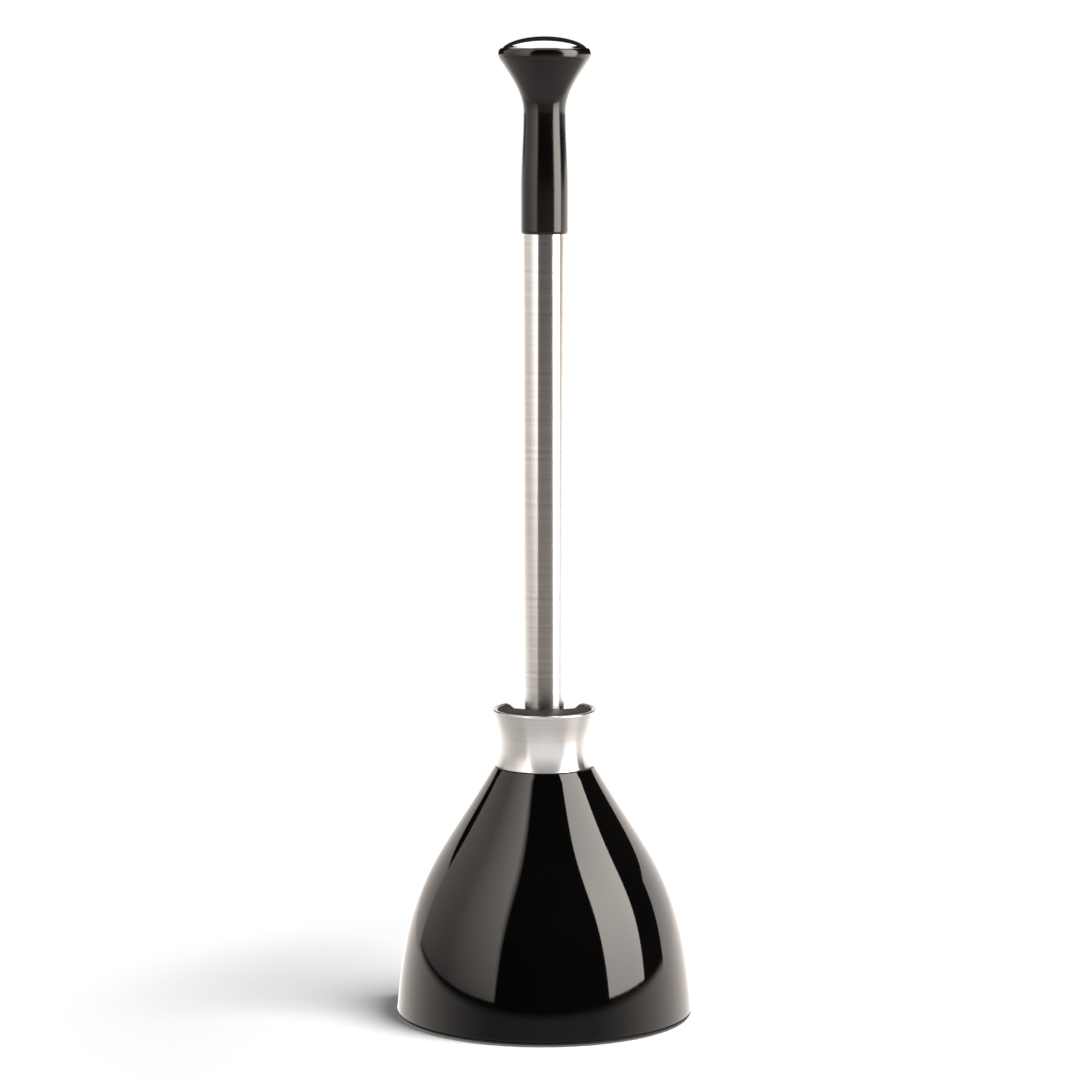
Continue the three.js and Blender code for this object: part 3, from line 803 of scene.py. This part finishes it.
def grip_outline():
    foot = [
        (SOCKET, GRIP_BOTTOM + 0.7), (SOCKET + 0.1, GRIP_BOTTOM + 0.25), (SOCKET + 0.35, GRIP_BOTTOM),
        (13.2, GRIP_BOTTOM), (13.5, GRIP_BOTTOM + 0.35), (13.68, GRIP_BOTTOM + 0.9),
        (13.77, GRIP_BOTTOM + 1.6), (13.8, GRIP_BOTTOM + 2.4),
    ]
    shaft = cubic((13.8, 488), (13.8, 508), (12.5, 516), (12.3, 535), 60)
    flare = cubic((12.3, 535), (12.2, 546), (17.5, 554), (26.2, 566.6), 60)[1:]
    rim = cubic((26.2, 566.6), (27.3, 568.2), (27.6, 572.6), (25.2, GRIP_TOP), 20)[1:]
    recess = [(24.95, GRIP_TOP - 0.02), (24.8, GRIP_TOP - 0.2), (24.8, 571.4), (21.5, 571.4), (21.5, 566.5)]
    hollow = [(17.5, 561), (12.5, 553), (8.8, 540), (8.5, 498)]
    web = [(2.3, 498), (2.3, 490), (SOCKET, 490)]
    closed = [*foot, *shaft, *flare, *rim, *recess, *hollow, *web, foot[0]]
    return [tuple(p) for p in closed]


grip = object_of("grip_sleeve", [turned(grip_outline(), ROUND, ROD_AXIS)])
dress(grip, "handle", "gloss_black", "grip", sharp=35, finish="grip_black")

CAP_BOTTOM, CAP_TOP = heights("grip_cap")


def cap_outline():
    crown = cubic((24.5, 573.2), (22.5, 576.4), (13, CAP_TOP), (0, CAP_TOP), 48)
    under = cubic((0, CAP_TOP - 1), (13, CAP_TOP - 1), (19.7, 576.4), (19.7, 574.6), 24)
    low = CAP_BOTTOM
    skirt = [(19.7, low + 0.2), (19.9, low), (20.7, low), (20.9, low + 0.2), (20.9, 571.7)]
    edge = [(24.3, 571.7), (24.5, 571.9)]
    return [tuple(p) for p in (*under, *skirt, *edge, *crown)]


cap = object_of("cap", [turned(cap_outline(), ROUND, ROD_AXIS)])
dress(cap, "handle", "polished_steel", "grip_cap", sharp=50)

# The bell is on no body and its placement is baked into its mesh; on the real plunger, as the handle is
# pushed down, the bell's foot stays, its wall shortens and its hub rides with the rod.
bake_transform(head)

# ------------------------------------------------------------------ studio

WARM = (1.0, 0.92, 0.86)
NEUTRAL = (1.0, 0.97, 0.96)
STUDIO = 1500  # distance of the panels from the caddy's axis
AIM_Z = 30  # height that the panels' elevations are measured from
DARK = 0.02  # the unlit studio above the horizon


def receivers(name, obj, state):
    """A collection that says what a light falls on: INCLUDE this object alone, or EXCLUDE it."""
    made = bpy.data.collections.new(name)
    made.objects.link(obj)
    made.collection_objects[0].light_linking.link_state = state
    return made


def panel(name, rows, radiance, linking, columns=48, steps=40):
    """A bent light panel that the camera doesn't see. Rows are (elevation, from, to) in degrees."""
    levels = np.linspace(rows[0][0], rows[-1][0], steps)
    low = np.interp(levels, [r[0] for r in rows], [r[1] for r in rows])
    high = np.interp(levels, [r[0] for r in rows], [r[2] for r in rows])
    grid, strength = [], []
    for elevation, start, end in zip(levels, low, high):
        turns = np.linspace(start, end, columns)
        rise = AIM_Z + STUDIO * math.tan(math.radians(elevation))
        grid.append([round_point(STUDIO, math.radians(t), rise) for t in turns])
        strength += [float(radiance(t, elevation)) for t in turns]
    lamp(name, grid, strength, linking)


def lamp(name, grid, strength, linking):
    """A light made of a grid of points in millimetres, with its strength at each point."""
    count, columns = len(grid), len(grid[0])
    mesh = bpy.data.meshes.new(name)
    faces = [
        (i * columns + j, i * columns + j + 1, (i + 1) * columns + j + 1, (i + 1) * columns + j)
        for i in range(count - 1)
        for j in range(columns - 1)
    ]
    mesh.from_pydata([tuple(c * MM for c in p) for row in grid for p in row], [], faces)
    mesh.attributes.new("radiance", "FLOAT", "POINT").data.foreach_set("value", strength)
    material = bpy.data.materials.new(name)
    material.use_nodes = True
    tree = material.node_tree
    tree.nodes.clear()
    value = add(tree, "ShaderNodeAttribute", attribute_name="radiance").outputs["Fac"]
    glow = add(tree, "ShaderNodeEmission", {"Color": (*WARM, 1), "Strength": value})
    out = add(tree, "ShaderNodeOutputMaterial")
    tree.links.new(glow.outputs[0], out.inputs["Surface"])
    mesh.materials.append(material)
    made = bpy.data.objects.new(name, mesh)
    bpy.context.scene.collection.objects.link(made)
    made.visible_camera = False
    made.visible_shadow = False
    made.light_linking.receiver_collection = linking


# Softbox on the left: strongest at its near edge and its top, with a near edge that softens upward.
SOFTBOX_LOW, SOFTBOX_HIGH = -38, -28
SOFTBOX_FAR = -124
SOFTBOX_BRIGHT, SOFTBOX_DIM = 2.9, 1.1
SOFTBOX_DIM_TO = -85  # azimuth up to which it is dim
SOFTBOX_FOOT, SOFTBOX_RISE = 0.4, 0.85
EDGE_LOW, EDGE_HIGH = 1, 10  # width of the near edge's softening
PANEL_TOP = 60

# Tall strip on the right, the wide backdrop behind, and a flat panel overhead.
STRIP_ROWS = [(0, 51, 85), (PANEL_TOP, 45, 97)]
STRIP_GLOW, STRIP_MIDDLE_GLOW = 6.2, 2.4
BACKDROP_RIGHT, BACKDROP_LEFT = 2.3, 1.2
BACKDROP_FROM, BACKDROP_TO = 110, 236
OVERHEAD_X, OVERHEAD_Y = (-850, 850), (-700, 1500)
OVERHEAD_Z, OVERHEAD_GLOW = 1800, 1.7


def softbox_radiance(azimuth, elevation):
    height = max(0, elevation) / PANEL_TOP
    near = SOFTBOX_LOW + (SOFTBOX_HIGH - SOFTBOX_LOW) * height
    soft = min(1, (near - azimuth) / (EDGE_LOW + (EDGE_HIGH - EDGE_LOW) * height))
    inward = min(1, max(0, (azimuth - SOFTBOX_DIM_TO) / (SOFTBOX_LOW - SOFTBOX_DIM_TO)))
    upward = SOFTBOX_FOOT + SOFTBOX_RISE * math.sqrt(height)
    return (SOFTBOX_DIM + (SOFTBOX_BRIGHT - SOFTBOX_DIM) * inward) * upward * soft


def strip_radiance(azimuth, elevation):
    return STRIP_GLOW + STRIP_MIDDLE_GLOW * math.sin(math.pi * max(0, elevation) / PANEL_TOP)


def backdrop_radiance(azimuth, elevation):
    leftward = (azimuth - BACKDROP_FROM) / (BACKDROP_TO - BACKDROP_FROM)
    return BACKDROP_RIGHT + (BACKDROP_LEFT - BACKDROP_RIGHT) * leftward


floor = bpy.data.objects.new("floor", bpy.data.meshes.new("floor"))
bpy.context.scene.collection.objects.link(floor)
no_floor = receivers("no_floor", floor, "EXCLUDE")
softbox_rows = [(0, SOFTBOX_FAR, SOFTBOX_LOW), (PANEL_TOP, SOFTBOX_FAR, SOFTBOX_HIGH)]
panel("softbox", softbox_rows, softbox_radiance, no_floor)
panel("strip", STRIP_ROWS, strip_radiance, no_floor)
backdrop_rows = [(-2, BACKDROP_FROM, BACKDROP_TO), (18, BACKDROP_FROM + 8, BACKDROP_TO)]
panel("backdrop", backdrop_rows, backdrop_radiance, no_floor)
overhead = [[(x, y, OVERHEAD_Z) for x in OVERHEAD_X] for y in OVERHEAD_Y]
lamp("overhead", overhead, [OVERHEAD_GLOW] * 4, no_floor)

# Two flat cards in front light the collar's ring alone: a bright low one and a dim high one.
CARD_AWAY = 0.6
CARD_WIDTH = 1.2
ring_only = receivers("ring_only", ring, "INCLUDE")


def card(name, low, high, radiance):
    """A flat light between two elevations, in degrees, seen from the middle of the ring."""
    eye = sum(heights("collar_ring")) / 2 * MM
    bottom, top = (eye + CARD_AWAY * math.tan(math.radians(e)) for e in (low, high))
    data = bpy.data.lights.new(name, "AREA")
    data.shape = "RECTANGLE"
    data.size = CARD_WIDTH
    data.size_y = top - bottom
    data.energy = radiance * math.pi * data.size * data.size_y
    data.color = NEUTRAL
    made = bpy.data.objects.new(name, data)
    made.location = (0, -CARD_AWAY, (bottom + top) / 2)
    made.rotation_euler = (math.radians(90), 0, 0)
    made.visible_camera = False
    made.light_linking.receiver_collection = ring_only
    bpy.context.scene.collection.objects.link(made)


card("low_card", -25, 1, 1.5)
card("high_card", 3, 40, 0.7)

# The floor has a light of its own, high on the right and in front.
KEY_TURN, KEY_RISE = 65, 64
KEY_AWAY = 1.6
key = bpy.data.objects.new("key", bpy.data.lights.new("key", "AREA"))
key.data.shape = "DISK"
key.data.size = 0.8
key.data.energy = 34
turn, rise = math.radians(KEY_TURN), math.radians(KEY_RISE)
toward = Vector((math.sin(turn) * math.cos(rise), -math.cos(turn) * math.cos(rise), math.sin(rise)))
key.location = toward * KEY_AWAY
key.rotation_euler = toward.to_track_quat("Z", "Y").to_euler()
key.visible_camera = False
key.visible_glossy = False
key.light_linking.receiver_collection = receivers("floor_only", floor, "INCLUDE")
bpy.context.scene.collection.objects.link(key)


def eased(tree, value, start, end, low, high):
    """Turns smoothly from low to high as value goes from start to end."""
    links = {"Value": value, "From Min": start, "From Max": end, "To Min": low, "To Max": high}
    return add(tree, "ShaderNodeMapRange", links, interpolation_type="SMOOTHSTEP").outputs["Result"]


def maths(tree, operation, first, second=0.0):
    return add(tree, "ShaderNodeMath", {0: first, 1: second}, operation=operation).outputs[0]


# The floor in reflections: dim in front, bright behind, and brighter on the right than the left.
FLOOR_FRONT, FLOOR_BACK = 0.3, 2.0
FLOOR_TURN = (35, 140)
FLOOR_SIDE = 0.2
FLOOR_NEAR, FLOOR_UNDER = 0.7, 0.45

# Elevations between which the horizon turns to far floor, that to near floor, and that to what is under.
HORIZON_FADE = (-0.5, -2.6)
NEAR_FADE = (-14, -32)
UNDER_FADE = (-50, -85)


def studio_world():
    """White behind the object for the camera. In reflections, a dark studio over a bright floor."""
    world = bpy.data.worlds.new("studio")
    bpy.context.scene.world = world
    world.use_nodes = True
    tree = world.node_tree
    tree.nodes.clear()
    direction = add(tree, "ShaderNodeTexCoord").outputs["Generated"]
    parts = add(tree, "ShaderNodeSeparateXYZ", {0: direction}).outputs
    azimuth = maths(tree, "ARCTAN2", parts["X"], maths(tree, "MULTIPLY", parts["Y"], -1.0))
    elevation = maths(tree, "MULTIPLY", maths(tree, "ARCSINE", parts["Z"]), 180 / math.pi)
    start, end = (math.radians(t) for t in FLOOR_TURN)
    round_glow = eased(tree, maths(tree, "ABSOLUTE", azimuth), start, end, FLOOR_FRONT, FLOOR_BACK)
    bias = maths(tree, "MULTIPLY", maths(tree, "SINE", azimuth), FLOOR_SIDE)
    far = maths(tree, "MULTIPLY", round_glow, maths(tree, "ADD", bias, 1.0))
    near = eased(tree, elevation, *UNDER_FADE, FLOOR_NEAR, FLOOR_UNDER)
    blend = add(tree, "ShaderNodeMix", {"Factor": eased(tree, elevation, *NEAR_FADE, 0, 1)})
    tree.links.new(far, blend.inputs["A"])
    tree.links.new(near, blend.inputs["B"])
    below = eased(tree, elevation, *HORIZON_FADE, 0, 1)
    floor_part = maths(tree, "MULTIPLY", blend.outputs["Result"], below)
    unseen = maths(tree, "ADD", floor_part, DARK)
    seen = add(tree, "ShaderNodeLightPath").outputs["Is Camera Ray"]
    dim = add(tree, "ShaderNodeBackground", {"Color": (*WARM, 1), "Strength": unseen})
    white = add(tree, "ShaderNodeBackground", {"Color": (1, 1, 1, 1), "Strength": 1.0})
    both = add(tree, "ShaderNodeMixShader", {0: seen, 1: dim.outputs[0], 2: white.outputs[0]})
    out = add(tree, "ShaderNodeOutputWorld")
    tree.links.new(both.outputs[0], out.inputs["Surface"])


PAPER = (0.82, 0.82, 0.82, 1)
PAPER_GLOW = 0.15
SHADOW_FADE = (0.18, 0.3)  # distances from the origin, in metres, over which the shadow ends


def floor_material():
    """White paper that takes the object's shadow near it, for the camera and from above only."""
    material = bpy.data.materials.new("floor")
    material.use_nodes = True
    tree = material.node_tree
    tree.nodes.clear()
    place = add(tree, "ShaderNodeNewGeometry").outputs
    away = add(tree, "ShaderNodeVectorMath", {0: place["Position"]}, operation="LENGTH").outputs["Value"]
    paper = add(tree, "ShaderNodeBsdfDiffuse", {"Color": PAPER})
    glow = add(tree, "ShaderNodeEmission", {"Color": (1, 1, 1, 1), "Strength": PAPER_GLOW})
    near = add(tree, "ShaderNodeAddShader", {0: paper.outputs[0], 1: glow.outputs[0]})
    plain = add(tree, "ShaderNodeEmission", {"Color": (1, 1, 1, 1), "Strength": 1.0})
    fade = eased(tree, away, *SHADOW_FADE, 0, 1)
    shown = add(tree, "ShaderNodeMixShader", {0: fade, 1: near.outputs[0], 2: plain.outputs[0]})
    clear = add(tree, "ShaderNodeBsdfTransparent")
    camera = add(tree, "ShaderNodeLightPath").outputs["Is Camera Ray"]
    above = maths(tree, "MULTIPLY", camera, maths(tree, "SUBTRACT", 1.0, place["Backfacing"]))
    both = add(tree, "ShaderNodeMixShader", {0: above, 1: clear.outputs[0], 2: shown.outputs[0]})
    out = add(tree, "ShaderNodeOutputMaterial")
    tree.links.new(both.outputs[0], out.inputs["Surface"])
    return material


studio_world()
REACH = 6.0  # metres
floor_corners = [(-REACH, -REACH, 0), (REACH, -REACH, 0), (REACH, REACH, 0), (-REACH, REACH, 0)]
floor.data.from_pydata(floor_corners, [], [(0, 1, 2, 3)])
floor.data.materials.append(floor_material())

camera = bpy.data.objects.new("camera", bpy.data.cameras.new("camera"))
camera.data.lens = 133
camera.data.sensor_width = 36
camera.location = (-0.00264, -2.340, 0.572)
camera.rotation_euler = (math.radians(83), 0, 0)
bpy.context.scene.collection.objects.link(camera)
bpy.context.scene.camera = camera
bpy.context.scene.view_settings.view_transform = "Standard"
bpy.context.scene.view_settings.look = "None"
